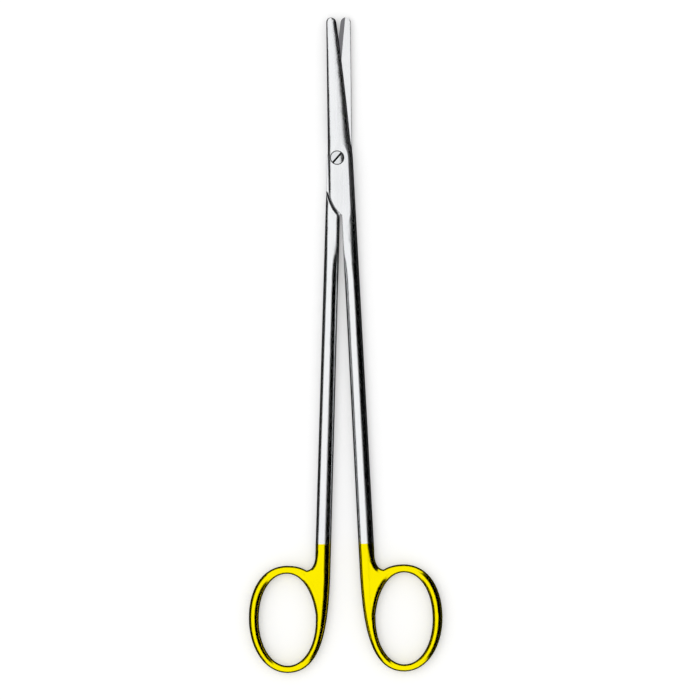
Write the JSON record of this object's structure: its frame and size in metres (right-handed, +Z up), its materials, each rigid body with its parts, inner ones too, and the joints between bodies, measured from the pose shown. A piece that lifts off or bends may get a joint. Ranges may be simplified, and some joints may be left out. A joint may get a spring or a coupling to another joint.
{
  "type": "dissecting scissors",
  "caption": "Long straight dissecting scissors with slim blunt-tipped blades, carbide cutting edges and gold finger rings, opening on a slotted pivot screw.",
  "frame": {"origin": "on the pivot screw's axis, at the ground back face of the joint that the scissors lie on", "axes": "+Z up along the pivot's axis through the screw head, +Y along the scissors towards the blade tips, +X across them to the right as seen from the screw head"},
  "size_m": [0.0678, 0.2292, 0.0056],
  "materials": {
    "satin_steel": "satin stainless steel, with the rings gold plated",
    "screw_steel": "bright turned stainless steel",
    "carbide": "ground tungsten carbide"
  },
  "bodies": {
    "back": {"back_half": "satin_steel", "back_insert": "carbide", "pivot_screw": "screw_steel"},
    "front": {"front_half": "satin_steel", "front_insert": "carbide"}
  },
  "joints": [
    {"name": "pivot", "type": "hinge", "parent": "back", "child": "front", "pos_m": [0, 0, 0.0027], "axis": [0, 0, 1], "range_deg": [-3.4, 120]}
  ]
}
